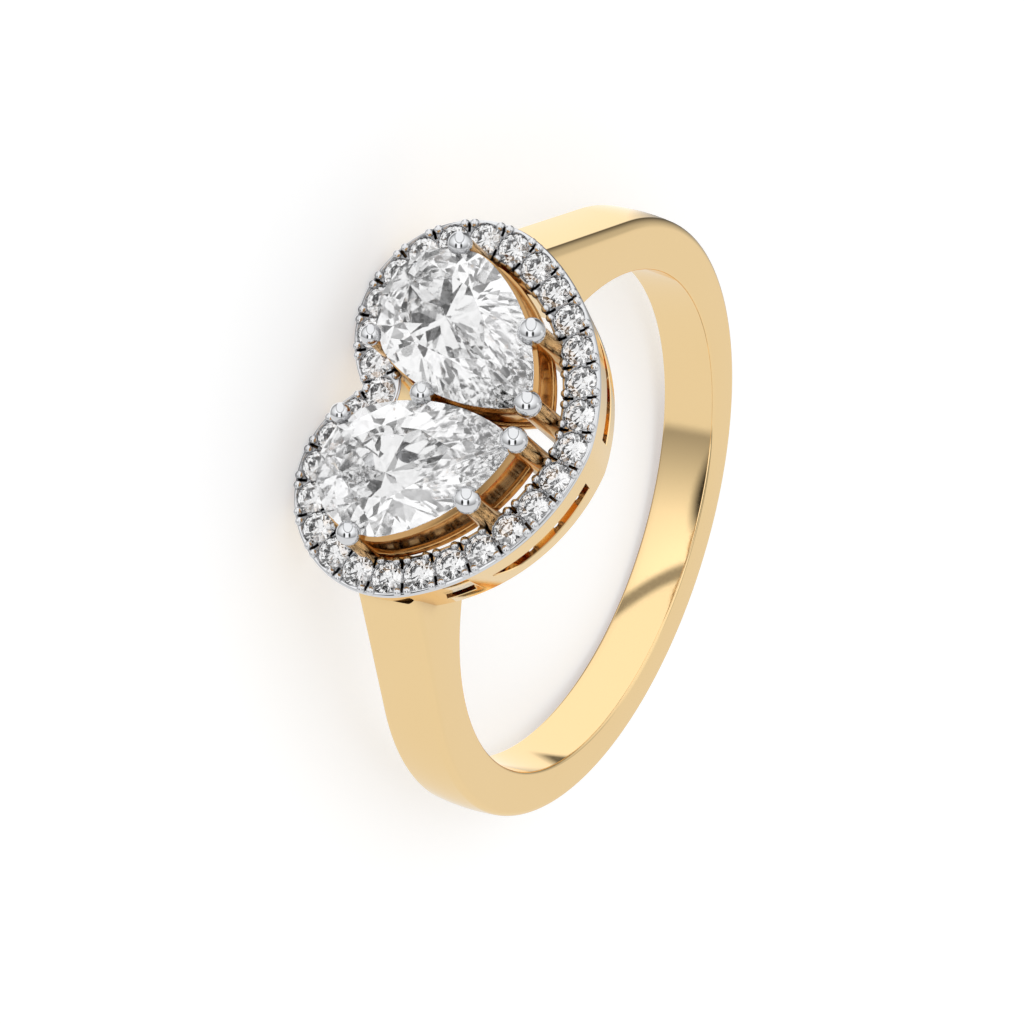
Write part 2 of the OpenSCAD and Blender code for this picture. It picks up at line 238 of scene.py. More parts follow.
def halo_point(along, grow):
    """A point at a length along the stone row from the cleft, moved outwards from the outline by grow."""
    along = (along + ROW_HALF) % (2 * ROW_HALF) - ROW_HALF
    left, along = along < 0, abs(along)
    for (centre, radius, side, start, end), length in zip(ARCS, ARC_LENGTHS):
        if along <= length or length == ARC_LENGTHS[-1]:
            angle = start + (end - start) * min(along / length, 1)
            point = centre + (radius + side * grow) * unit(angle)
            return np.array([-point[0] if left else point[0], point[1]])
        along -= length


def halo_loop(grow, count):
    """Evenly spaced points round the halo."""
    return np.array([halo_point(2 * ROW_HALF * i / count, grow) for i in range(count)])


ROW_STEP = 2 * ROW_HALF / ROW_STONES


def row_at(number):
    """Length from the cleft to a stone by its number. The stones lean a little towards the cleft."""
    return ROW_STEP * (number - ROW_LEAN * math.sin(2 * math.pi * number / ROW_STONES))


ROW_PLACES = [halo_point(row_at(i), -ROW_IN) for i in range(ROW_STONES)]
LIGHT_PLACES = [halo_point(row_at(i), -LIGHT_IN) for i in range(ROW_STONES)]


# Yellow gold

def half_width(z):
    """Half the hoop's width along the finger at a height."""
    return (HOOP_W_BACK + (HOOP_W_HEAD - HOOP_W_BACK) * (z + BACK_R) / (ARM_TOP_Z + BACK_R)) / 2


def hoop_stations():
    """Pairs of inner and outer points of the hoop's side view, from the bottom to the right arm's end."""
    lift = (SIDE_R ** 2 - BACK_R ** 2) / (2 * BACK_R)
    outer_r = BACK_R + lift
    centre = np.array([0, lift])
    arm_corner = np.array([ARM_OUT, ARM_TOP_Z])
    to_corner = arm_corner - centre
    leave = math.atan2(to_corner[1], to_corner[0]) - math.acos(outer_r / np.linalg.norm(to_corner))
    arm_start = math.acos(ARM_IN / FINGER_R)
    shoulder = centre + outer_r * unit(leave)
    inner_end = FINGER_R * unit(arm_start)
    bottom = -math.pi / 2
    stations = []
    for t in np.linspace(0, 1, 90):
        angle = bottom + (leave - bottom) * t
        stations.append((FINGER_R * unit(angle), centre + outer_r * unit(angle)))
    turn = 0.6
    for t in np.linspace(0, 1, 32)[1:]:
        outer = shoulder + (arm_corner - shoulder) * t
        if t < turn:
            inner = FINGER_R * unit(leave + (arm_start - leave) * t / turn)
        else:
            inner = inner_end + (np.array([ARM_IN, ARM_TOP_Z]) - inner_end) * (t - turn) / (1 - turn)
        stations.append((inner, outer))
    return stations


def hoop_section(inner, outer, edge_out, edge_in, crown):
    """The hoop's cross-section: flat sides, a slightly crowned outer face and rounded edges."""
    out = outer - inner
    depth = np.linalg.norm(out)
    out = out / depth
    corner = np.linspace(0, math.pi / 2, 13)
    deep = edge_out + SHOULDER_EDGE * max(0, outer[1] / ARM_TOP_Z)
    path = [(depth - crown - deep + deep * math.cos(a), edge_out - edge_out * math.sin(a)) for a in corner]
    path += [(edge_in - edge_in * math.sin(a), edge_in - edge_in * math.cos(a)) for a in corner[::3]]
    points = []
    for side, steps in ((1, path), (-1, path[::-1])):
        for up, inset in steps:
            x, z = inner + out * up
            points.append((x, side * (half_width(z) - inset), z))
    for share in (-0.75, -0.4, 0, 0.4, 0.75):
        x, z = inner + out * (depth - crown * share ** 2)
        points.append((x, share * (half_width(z) - edge_out), z))
    return points


def make_hoop(gold):
    """The hoop and its two arms, open between the arms' ends."""
    right = hoop_stations()
    left = [(inner * (-1, 1), outer * (-1, 1)) for inner, outer in right[:0:-1]]
    edge_out, edge_in, crown = 0.26, 0.1, 0.05
    rows = [hoop_section(inner, outer, edge_out, edge_in, crown) for inner, outer in left + right]
    points, faces = lattice(rows)
    columns = len(rows[0])
    faces.append(tuple(range(columns)))
    faces.append(tuple(len(points) - 1 - i for i in range(columns)))
    return settle(mesh_object("hoop", points, faces), gold, "yellow_gold", ["gold_mount"])


def halo_band(section, count):
    """A closed band round the halo from a loop of (grow, height) points."""
    loops = {grow: halo_loop(grow, count) for grow in sorted({g for g, _ in section})}
    return [[(x, y, z) for x, y in loops[grow]] for grow, z in section]


def wall_grow(z):
    """How far the gallery's outer wall stands from the halo's outline at a height."""
    return -GALLERY_TAPER * (PLATE_Z - z) / (PLATE_Z - RAIL_Z)


def slot_cutter(start, end, belly, side):
    """The room of one slot, from the halo's inside out through the wall, bevelled along both long edges.

    A slot with a belly sags a little in its middle and runs out to a point at its far end.
    """
    back_y, beyond, bevel_low, bevel_high = 1.2, 1.0, 0.045, 0.02
    point_from, point_h = 0.8, 0.08
    round_steps = 2400
    walls = {}
    for z in (SLOT_Z, SLOT_TOP_Z):
        lengths = [2 * ROW_HALF * i / round_steps for i in range(round_steps // 2)]
        loop = np.array([halo_point(along, wall_grow(z)) for along in lengths])
        walls[z] = loop[loop[:, 1] > 0][::-1]
    rows = []
    for share in np.linspace(0, 1, 60):
        x = start + (end - start) * share
        low_y, high_y = (np.interp(x, walls[z][:, 0], walls[z][:, 1]) for z in (SLOT_Z, SLOT_TOP_Z))
        sag = belly * math.sin(math.pi * share)
        if belly and share > point_from:
            sag -= (SLOT_TOP_Z - SLOT_Z - point_h) * ((share - point_from) / (1 - point_from)) ** 1.5
        low_z = SLOT_Z - sag
        low_y -= sag * GALLERY_TAPER / (PLATE_Z - RAIL_Z)
        path = [
            (back_y, low_z),
            (low_y - bevel_low, low_z),
            (low_y + bevel_low, low_z - 2 * bevel_low),
            (low_y + beyond, low_z - 2 * bevel_low),
            (high_y + beyond, SLOT_TOP_Z + 2 * bevel_high),
            (high_y + bevel_high, SLOT_TOP_Z + 2 * bevel_high),
            (high_y - bevel_high, SLOT_TOP_Z),
            (back_y, SLOT_TOP_Z),
        ]
        rows.append([(side * x, y, z) for y, z in path])
    points, faces = lattice(rows)
    count = len(rows[0])
    return points, faces + [tuple(range(count)), tuple(len(points) - 1 - i for i in range(count))]


def carve_seats(obj, profile):
    """Bores a turned shape into the object at each small stone, every second stone at a time."""
    for first in (0, 1):
        cutters = [revolved(profile, place, 48) for place in ROW_PLACES[first::2]]
        carve(obj, mesh_object("seats", *joined(cutters)))


def make_gallery(gold):
    """The pierced wall under the halo, with a seat and a light hole behind each small stone."""
    top = PLATE_Z - 0.01
    edge_r = 0.04
    foot_grow, top_grow = wall_grow(RAIL_Z), wall_grow(top)
    section = arc_points((foot_grow - edge_r, RAIL_Z + edge_r), edge_r, -90, 0, 3)
    section += [(top_grow - 0.005, top - 0.02), (top_grow - 0.02, top)]
    section += [(0.02 - HALO_W, top), (-HALO_W, top - 0.02)]
    section += arc_points((edge_r - HALO_W, RAIL_Z + edge_r), edge_r, 180, 270, 3)
    gallery = mesh_object("gallery", *lattice(halo_band(section, 600), close_rows=True))
    slots = [slot_cutter(*slot, side) for side in (-1, 1) for slot in SLOTS]
    carve(gallery, mesh_object("slots", *joined(slots)))
    hole_r = 0.22
    hole = [(0, RAIL_Z - 0.5), (hole_r, RAIL_Z - 0.5), (hole_r, PLATE_TOP_Z), (0, PLATE_TOP_Z)]
    holes = [revolved(hole, place, 24) for place in LIGHT_PLACES]
    carve(gallery, mesh_object("light_holes", *joined(holes)))
    point_z, seat_r = PLATE_Z - 0.47, 0.5
    seat = [(0, point_z), (0.05, point_z), (seat_r, PLATE_Z), (seat_r, PLATE_TOP_Z), (0, PLATE_TOP_Z)]
    carve_seats(gallery, seat)
    return settle(gallery, gold, "yellow_gold", ["gold_mount"], sharp=25)


def pear_loop(grow, steps=40):
    """The pear's outline in its own directions, anticlockwise from its point."""
    radius = PEAR_ARC_R + grow
    drop = PEAR_ARC_R - PEAR_A
    end = math.acos(drop / radius)
    side = [(radius * math.sin(a), radius * math.cos(a) - drop) for a in np.linspace(end, 0, steps + 1)]
    back = arc_points((0, 0), PEAR_A + grow, 90, 270, 2 * steps)
    return np.array(side[:-1] + back + [(u, -v) for u, v in side[::-1][1:-1]])


def at_pear(points, side):
    """Moves points from a pear stone's own directions into the ring's, height 0 at the girdle."""
    points = np.asarray(points, float)
    c, s = math.cos(PEAR_TURN), math.sin(PEAR_TURN)
    x = PEAR_AT[0] + points[..., 0] * c - points[..., 1] * s
    y = PEAR_AT[1] + points[..., 0] * s + points[..., 1] * c
    return np.stack([side * x, y, points[..., 2] + GIRDLE_Z], -1)


def make_basket(gold, side, name):
    """The seat wall under a pear stone: a bevelled lip, a polished wall and a rail round its foot."""
    foot = BASKET_Z - GIRDLE_Z
    rail_top = foot + 0.34
    section = arc_points((0.08, foot + 0.04), 0.04, -90, 0, 3)
    section += arc_points((0.08, rail_top - 0.04), 0.04, 0, 90, 3)
    section += [(0.01, rail_top), (0.0, rail_top + 0.02), (0.0, -0.5)]
    section += arc_points((0.0, -0.34), 0.06, 0, 50, 4)
    section += [(-0.09, -0.16), (-0.11, -0.13), (-0.36, -0.38), (-0.36, foot + 0.03), (-0.33, foot)]
    rows = [[(u, v, z) for u, v in pear_loop(grow)] for grow, z in section]
    points, faces = lattice(at_pear(rows, side), close_rows=True)
    return settle(mesh_object(name, points, faces), gold, "yellow_gold", ["gold_mount"])


def near_shaft(place, gap):
    """Whether a place is nearer to a prong's shaft than a gap."""
    return any(math.dist(place, (x, y)) < gap + shaft_d / 2 for x, y, _, shaft_d in PRONGS)


def make_shafts(gold):
    """The prongs' shafts, hollowed where they hold the pear stones and the nearest small stones."""
    foot, top = SLOT_Z - 0.2, BALL_Z - 0.05
    shafts = []
    for x, y, _, shaft_d in PRONGS:
        r = shaft_d / 2
        bevel = [(r - 0.06, foot), (r - 0.02, foot + 0.02), (r, foot + 0.06)]
        shafts.append(revolved([(0, foot), *bevel, (r, top), (0, top)], (x, y), 40))
    obj = mesh_object("prong_shafts", *joined(shafts))
    for side in (-1, 1):
        carve(obj, pear_stone("seat", side, 0.02))
    seat_r = SMALL_D / 2 + 0.03
    low, high = SMALL_GIRDLE_Z - 0.5, SMALL_GIRDLE_Z + 0.4
    seat = [(0, low), (seat_r, low), (seat_r, high), (0, high)]
    seats = [revolved(seat, place, 48) for place in ROW_PLACES if near_shaft(place, seat_r)]
    carve(obj, mesh_object("small_seats", *joined(seats)))
    return settle(obj, gold, "yellow_gold", ["gold_mount"])


# White metal

def gap_wedge(number, first_in, last_in):
    """A V-shaped cut across an edge of the plate, midway between two stones."""
    half_w, depth, over = 0.055, 0.17, 0.01
    middle = row_at(number + 0.5)
    ends = [halo_point(middle, -inset) for inset in (first_in, last_in)]
    along = (ends[1] - ends[0]) / np.linalg.norm(ends[1] - ends[0])
    across = np.array([-along[1], along[0]])
    rows = []
    for end in ends:
        a, b = end - across * half_w, end + across * half_w
        rows.append([(*a, PLATE_TOP_Z + over), (*end, PLATE_TOP_Z - depth), (*b, PLATE_TOP_Z + over)])
    points, faces = lattice(rows)
    return points, faces + [(0, 1, 2), (5, 4, 3)]


def make_plate(white):
    """The halo's plate: a smooth rim, an open seat for each stone and a cut at each edge in every gap."""
    rim_r, inner_r = 0.1, 0.03
    section = [(0.0, PLATE_Z)] + arc_points((-rim_r, PLATE_TOP_Z - rim_r), rim_r, 0, 90, 5)
    section += arc_points((inner_r - HALO_W, PLATE_TOP_Z - inner_r), inner_r, 90, 180, 3)
    section += [(-HALO_W, PLATE_Z)]
    plate = mesh_object("halo_plate_top", *lattice(halo_band(section, 600), close_rows=True))
    low, high = PLATE_Z - 0.05, PLATE_TOP_Z + 0.2
    seat_r = SMALL_D / 2 + 0.012
    carve_seats(plate, [
        (0, low), (0.42, low), (seat_r, SMALL_GIRDLE_Z - 0.015), (seat_r, SMALL_GIRDLE_Z + 0.02),
        (seat_r + 0.04, PLATE_TOP_Z + 0.005), (seat_r + 0.04, high), (0, high),
    ])
    for first_in, last_in in ((0.1, 0.44), (0.9, HALO_W + 0.1)):
        cuts = [gap_wedge(i, first_in, last_in) for i in range(ROW_STONES)]
        carve(plate, mesh_object("cuts", *joined(cuts)))
    return settle(plate, white, "white_metal", ["halo_plate"], sharp=30)


def bead_places():
    """Each bead's place, its radius and whether it is an inner one.

    A gap has two beads at each edge of the plate. Beads that a prong's shaft would cover are left out.
    """
    outer_beads, inner_beads = (0.145, 0.17, 0.155), (HALO_W - 0.1, 0.185, 0.15)
    places = []
    for i in range(ROW_STONES):
        middle = row_at(i + 0.5)
        for inset, apart, radius in (outer_beads, inner_beads):
            for side in (-1, 1):
                centre = halo_point(middle, -inset)
                beside = halo_point(middle + side * 0.05, -inset) - centre
                place = centre + beside / np.linalg.norm(beside) * apart
                if not near_shaft(place, 0.05):
                    places.append((place, radius, inset > ROW_IN))
    return places


def ball_profile(radius, middle_z, steps):
    """The half circle that turns into a ball."""
    angles = np.linspace(0, math.pi, steps + 1)
    return [(radius * math.sin(a), middle_z - radius * math.cos(a)) for a in angles]


def make_beads(white):
    """The beads' round white tops."""
    beads = [revolved(ball_profile(r, PLATE_TOP_Z, 12), place, 20) for place, r, _ in bead_places()]
    return settle(mesh_object("halo_beads", *joined(beads)), white, "white_metal", ["halo_plate"], sharp=60)


def make_pegs(gold):
    """The stems under the inner beads, which stand out a little from the gallery's inner wall."""
    foot = PLATE_Z - 0.42
    pegs = []
    for place, radius, inner in bead_places():
        if inner:
            r = radius - 0.01
            profile = [(0, foot), (r - 0.07, foot + 0.01), (r, foot + 0.1), (r, PLATE_Z), (0, PLATE_Z)]
            pegs.append(revolved(profile, place, 20))
    return settle(mesh_object("halo_pegs", *joined(pegs)), gold, "yellow_gold", ["gold_mount"], sharp=40)


def make_ball(white, index, prong):
    """The round tip of one prong, notched where it holds its stones."""
    x, y, ball_d, _ = prong
    ball = mesh_object(f"prong_ball_{index}", *revolved(ball_profile(ball_d / 2, BALL_Z, 24), (x, y), 48))
    for side in (-1, 1):
        if side * x >= 0:
            carve(ball, pear_stone("seat", side, 0.015))
    return settle(ball, white, "white_metal", [f"prong_tip_{index}"])


# Stones

def plane_through(a, b, c):
    """A plane through three points, its normal pointing away from the stone's axis and middle."""
    normal = np.cross(b - a, c - a)
    normal /= np.linalg.norm(normal)
    return a, normal if normal @ a > 0 else -normal


def meeting(plane_a, plane_b, height):
    """The point where two planes meet at a height."""
    rows = np.array([plane_a[1], plane_b[1], (0, 0, 1)])
    return np.linalg.solve(rows, [plane_a[1] @ plane_a[0], plane_b[1] @ plane_b[0], height])


def crown_or_pavilion(points, tangents, middles, girdle_z, far_z, share, join_share=None):
    """The planes of the main facets, of the two facets between each pair of them, and of a crown's stars.

    The mains run from the girdle to the height far_z. A crown's leave a share of the outline there as its
    table, and a pavilion's, with no share, meet in a point. join_share says how far up the two facets
    between a pair of mains reach. Without it there are mains alone.
    """
    count = len(points)
    girdle = [np.array([*p, girdle_z]) for p in points]
    between = [np.array([*p, girdle_z]) for p in middles]
    far = [np.array([*(share * p), far_z]) for p in points]
    beside = [g + np.array([*t, 0.0]) for g, t in zip(girdle, tangents)]
    mains = [plane_through(*corners) for corners in zip(girdle, far, beside)]
    if join_share is None:
        return mains
    planes = list(mains)
    join_z = girdle_z + (far_z - girdle_z) * join_share
    for i in range(count):
        k = (i + 1) % count
        join = meeting(mains[i], mains[k], join_z)
        planes.append(plane_through(join, girdle[i], between[i]))
        planes.append(plane_through(join, between[i], girdle[k]))
        if share:
            planes.append(plane_through(join, far[i], far[k]))
    return planes


def cut_gem(name, outline, planes, low, high):
    """A stone cut from a blank with the outline. Each plane takes off what lies beyond it."""
    count = len(outline)
    bm = bmesh.new()
    rings = [[bm.verts.new((x, y, z)) for x, y in outline] for z in (low, high)]
    bm.faces.new(rings[0][::-1])
    bm.faces.new(rings[1])
    for i in range(count):
        k = (i + 1) % count
        bm.faces.new((rings[0][i], rings[0][k], rings[1][k], rings[1][i]))
    for point, normal in planes:
        blank = bm.verts[:] + bm.edges[:] + bm.faces[:]
        cut = bmesh.ops.bisect_plane(
            bm, geom=blank, dist=1e-6, plane_co=point, plane_no=normal, clear_outer=True)
        edges = [g for g in cut["geom_cut"] if isinstance(g, bmesh.types.BMEdge)]
        if edges:
            bmesh.ops.edgeloop_fill(bm, edges=edges)
    bmesh.ops.remove_doubles(bm, verts=bm.verts[:], dist=1e-5)
    bmesh.ops.recalc_face_normals(bm, faces=bm.faces[:])
    mesh = bpy.data.meshes.new(name)
    bm.to_mesh(mesh)
    bm.free()
    obj = bpy.data.objects.new(name, mesh)
    bpy.context.scene.collection.objects.link(obj)
    return obj


def pear_facets(grow):
    """The outline and planes of a pear brilliant, with its girdle's lower edge at height 0."""
    loop = pear_loop(grow, 48)
    steps = np.linalg.norm(np.roll(loop, -1, 0) - loop, axis=1)
    along = np.concatenate([[0], np.cumsum(steps)])
    total = along[-1]

    def at(share):
        """The outline's point and tangent at a share of its length from the point of the pear."""
        s = share % 1 * total
        i = min(int(np.searchsorted(along, s, "right")) - 1, len(loop) - 1)
        a, b = loop[i], loop[(i + 1) % len(loop)]
        return a + (b - a) * (s - along[i]) / steps[i], (b - a) / steps[i]

    shares = [0, 0.13, 0.262, 0.385, 0.5, 0.615, 0.738, 0.87]
    points = [at(s)[0] for s in shares]
    tangents = [at(s)[1] for s in shares]
    tangents[0] = np.array([0.0, 1.0])
    middles = [at((a + b) / 2)[0] for a, b in zip(shares, shares[1:] + [1])]
    rim = (points, tangents, middles)
    girdle_t, crown, pavilion = 0.08, 0.6, 1.95
    table_z = girdle_t + crown + grow
    upper = crown_or_pavilion(*rim, girdle_t + grow, table_z, share=0.56, join_share=0.62)
    lower = crown_or_pavilion(*rim, -grow, -pavilion - grow, share=0.0, join_share=0.78)
    table = (np.array([0, 0, table_z]), np.array([0, 0, 1.0]))
    return loop, upper + lower + [table]


def pear_stone(name, side, grow):
    """One pear stone's mesh in its place in the ring."""
    loop, planes = pear_facets(grow)
    stone = cut_gem(name, loop, planes, low=-2.2, high=0.9)
    points = np.array([v.co[:] for v in stone.data.vertices])
    stone.data.vertices.foreach_set("co", at_pear(points, side).ravel())
    if side < 0:
        stone.data.flip_normals()
    stone.data.update()
    return stone


def make_small_stones(diamond):
    """The row of small round brilliants."""
    r = SMALL_D / 2
    outline = np.array(arc_points((0, 0), r, 0, 360, 32))[:-1]
    angles = np.radians(np.arange(8) * 45)
    points = [r * unit(a) for a in angles]
    tangents = [unit(a + math.pi / 2) for a in angles]
    middles = [r * unit(a + math.pi / 8) for a in angles]
    rim = (points, tangents, middles)
    girdle_t, crown, pavilion = 0.012, 0.155, 0.45
    table_z = girdle_t + crown
    planes = crown_or_pavilion(*rim, girdle_t, table_z, share=0.56, join_share=0.6)
    planes += crown_or_pavilion(*rim, -girdle_t, -girdle_t - pavilion, share=0.0)
    planes.append((np.array([0, 0, table_z]), np.array([0, 0, 1.0])))
    one = cut_gem("small_stone", outline, planes, low=-0.6, high=0.4)
    base = np.array([v.co[:] for v in one.data.vertices])
    faces = [tuple(p.vertices) for p in one.data.polygons]
    bpy.data.objects.remove(one)
    # Each stone is turned on from the one before, so no two catch the light alike
    turn_step = 2.4
    x, y, z = base.T
    stones = []
    for i, place in enumerate(ROW_PLACES):
        c, s = math.cos(turn_step * i), math.sin(turn_step * i)
        turned = np.column_stack([x * c - y * s, x * s + y * c, z])
        stones.append((turned + [place[0], place[1], SMALL_GIRDLE_Z], faces))
    field = mesh_object("halo_brilliants", *joined(stones))
    return settle(field, diamond, "diamond", ["halo_stones"], sharp=0)


# Materials

def new_material(name):
    material = bpy.data.materials.new(name)
    material.use_nodes = True
    tree = material.node_tree
    return material, tree, tree.nodes["Principled BSDF"]


def noise(tree, scale, detail):
    """Noise in the object's own space, with its scale in features per metre."""
    place = tree.nodes.new("ShaderNodeTexCoord")
    texture = tree.nodes.new("ShaderNodeTexNoise")
    texture.inputs["Scale"].default_value = scale
    texture.inputs["Detail"].default_value = detail
    tree.links.new(place.outputs["Object"], texture.inputs["Vector"])
    return texture


def ranged(tree, source, low, high, to_low, to_high):
    """A value's range mapped to another."""
    node = tree.nodes.new("ShaderNodeMapRange")
    for name, value in (("From Min", low), ("From Max", high), ("To Min", to_low), ("To Max", to_high)):
        node.inputs[name].default_value = value
    tree.links.new(source, node.inputs["Value"])
    return node.outputs["Result"]


def blended(tree, source, colour_a, colour_b):
    """A colour between two, by a value from 0 to 1."""
    node = tree.nodes.new("ShaderNodeMix")
    node.data_type = "RGBA"
    node.inputs[6].default_value = (*colour_a, 1)
    node.inputs[7].default_value = (*colour_b, 1)
    tree.links.new(source, node.inputs["Factor"])
    return node.outputs[2]


def bumped(tree, source, distance):
    """A small relief from a value, with its full depth in metres."""
    node = tree.nodes.new("ShaderNodeBump")
    node.inputs["Distance"].default_value = distance
    tree.links.new(source, node.inputs["Height"])
    return node.outputs["Normal"]


def painted_recess_shade(tree, colour, painted_shade_colour, reach):
    """A colour that gives way to a darker one in corners and slots: painted shade where ambient occlusion
    finds them closed in.
    """
    open_share = tree.nodes.new("ShaderNodeAmbientOcclusion")
    open_share.samples = 6
    open_share.inputs["Distance"].default_value = reach
    node = tree.nodes.new("ShaderNodeMix")
    node.data_type = "RGBA"
    node.inputs[6].default_value = (*painted_shade_colour, 1)
    # Painted shade: the darker colour takes over where ambient occlusion finds the surface closed in
    tree.links.new(ranged(tree, open_share.outputs["AO"], 0.35, 0.88, 0.0, 1.0), node.inputs["Factor"])
    tree.links.new(colour, node.inputs[7])
    return node.outputs[2]


def polished_metal(name, colours, painted_shade_colour, edge_colour, roughness, relief):
    """A polished metal with faint changes of colour and gloss, painted shade in its recesses and a trace of
    polishing.

    colours and roughness are each a low and a high end, and edge_colour tints its glancing reflections.
    """
    material, tree, shader = new_material(name)
    shader.inputs["Metallic"].default_value = 1.0
    shader.inputs["Specular Tint"].default_value = (*edge_colour, 1)
    broad = noise(tree, 350, 2)
    fine = noise(tree, 9000, 3)
    surface = blended(tree, broad.outputs["Fac"], *colours)
    # The base colour carries painted shade in corners and slots
    tree.links.new(painted_recess_shade(tree, surface, painted_shade_colour, 0.6 * MM), shader.inputs["Base Color"])
    tree.links.new(ranged(tree, fine.outputs["Fac"], 0.3, 0.7, *roughness), shader.inputs["Roughness"])
    tree.links.new(bumped(tree, broad.outputs["Fac"], relief), shader.inputs["Normal"])
    return material


def cut_diamond(name, roughness):
    """A clear stone of diamond's refraction, with a trace of tint that shifts across it."""
    material, tree, shader = new_material(name)
    shader.inputs["Roughness"].default_value = roughness
    shader.inputs["IOR"].default_value = 2.417
    shader.inputs["Transmission Weight"].default_value = 1.0
    clear, tinted = (1.0, 1.0, 1.0), (0.985, 0.985, 0.99)
    soft = noise(tree, 300, 1)
    tree.links.new(blended(tree, soft.outputs["Fac"], clear, tinted), shader.inputs["Base Color"])
    return material


def pale_floor(name):
    """A matt white floor that glows a little, so the ring's shadow on it stays faint."""
    material, tree, shader = new_material(name)
    shader.inputs["Roughness"].default_value = 0.6
    shader.inputs["Specular IOR Level"].default_value = 0.2
    shader.inputs["Emission Color"].default_value = (1.0, 1.0, 1.0, 1.0)
    shader.inputs["Emission Strength"].default_value = 0.5
    darker, lighter = (0.66, 0.66, 0.66), (0.68, 0.68, 0.68)
    soft = noise(tree, 12, 2)
    tree.links.new(blended(tree, soft.outputs["Fac"], darker, lighter), shader.inputs["Base Color"])
    return material


# Studio

# The camera's directions and place in the ring's own directions, in millimetres
VIEW_RIGHT = Vector((-0.3533, 0.8673, -0.3506))
VIEW_UP = Vector((-0.9202, -0.2545, 0.2976))
VIEW_BACK = Vector((0.1688, 0.4278, 0.888))
VIEW_FROM = Vector((82.96, 207.39, 434.10))


def make_camera():
    """The camera at the photograph's angle. Returns its directions in the scene."""
    data = bpy.data.cameras.new("camera")
    data.angle = math.radians(4)
    camera = bpy.data.objects.new("camera", data)
    bpy.context.scene.collection.objects.link(camera)
    right, up, back = (TURN.to_3x3() @ v.normalized() for v in (VIEW_RIGHT, VIEW_UP, VIEW_BACK))
    place = Matrix((right, up, back)).transposed().to_4x4()
    place.translation = LAY @ VIEW_FROM
    camera.matrix_world = place
    bpy.context.scene.camera = camera
    return right, up, back


def make_floor():
    """The floor, which neither the metal nor the stones show."""
    mesh = bpy.data.meshes.new("floor")
    reach = 3.0
    corners = [(-reach, -reach, 0), (reach, -reach, 0), (reach, reach, 0), (-reach, reach, 0)]
    mesh.from_pydata(corners, [], [(0, 1, 2, 3)])
    floor = bpy.data.objects.new("floor", mesh)
    floor.data.materials.append(pale_floor("pale_floor"))
    floor.visible_glossy = False
    floor.visible_transmission = False
    bpy.context.scene.collection.objects.link(floor)


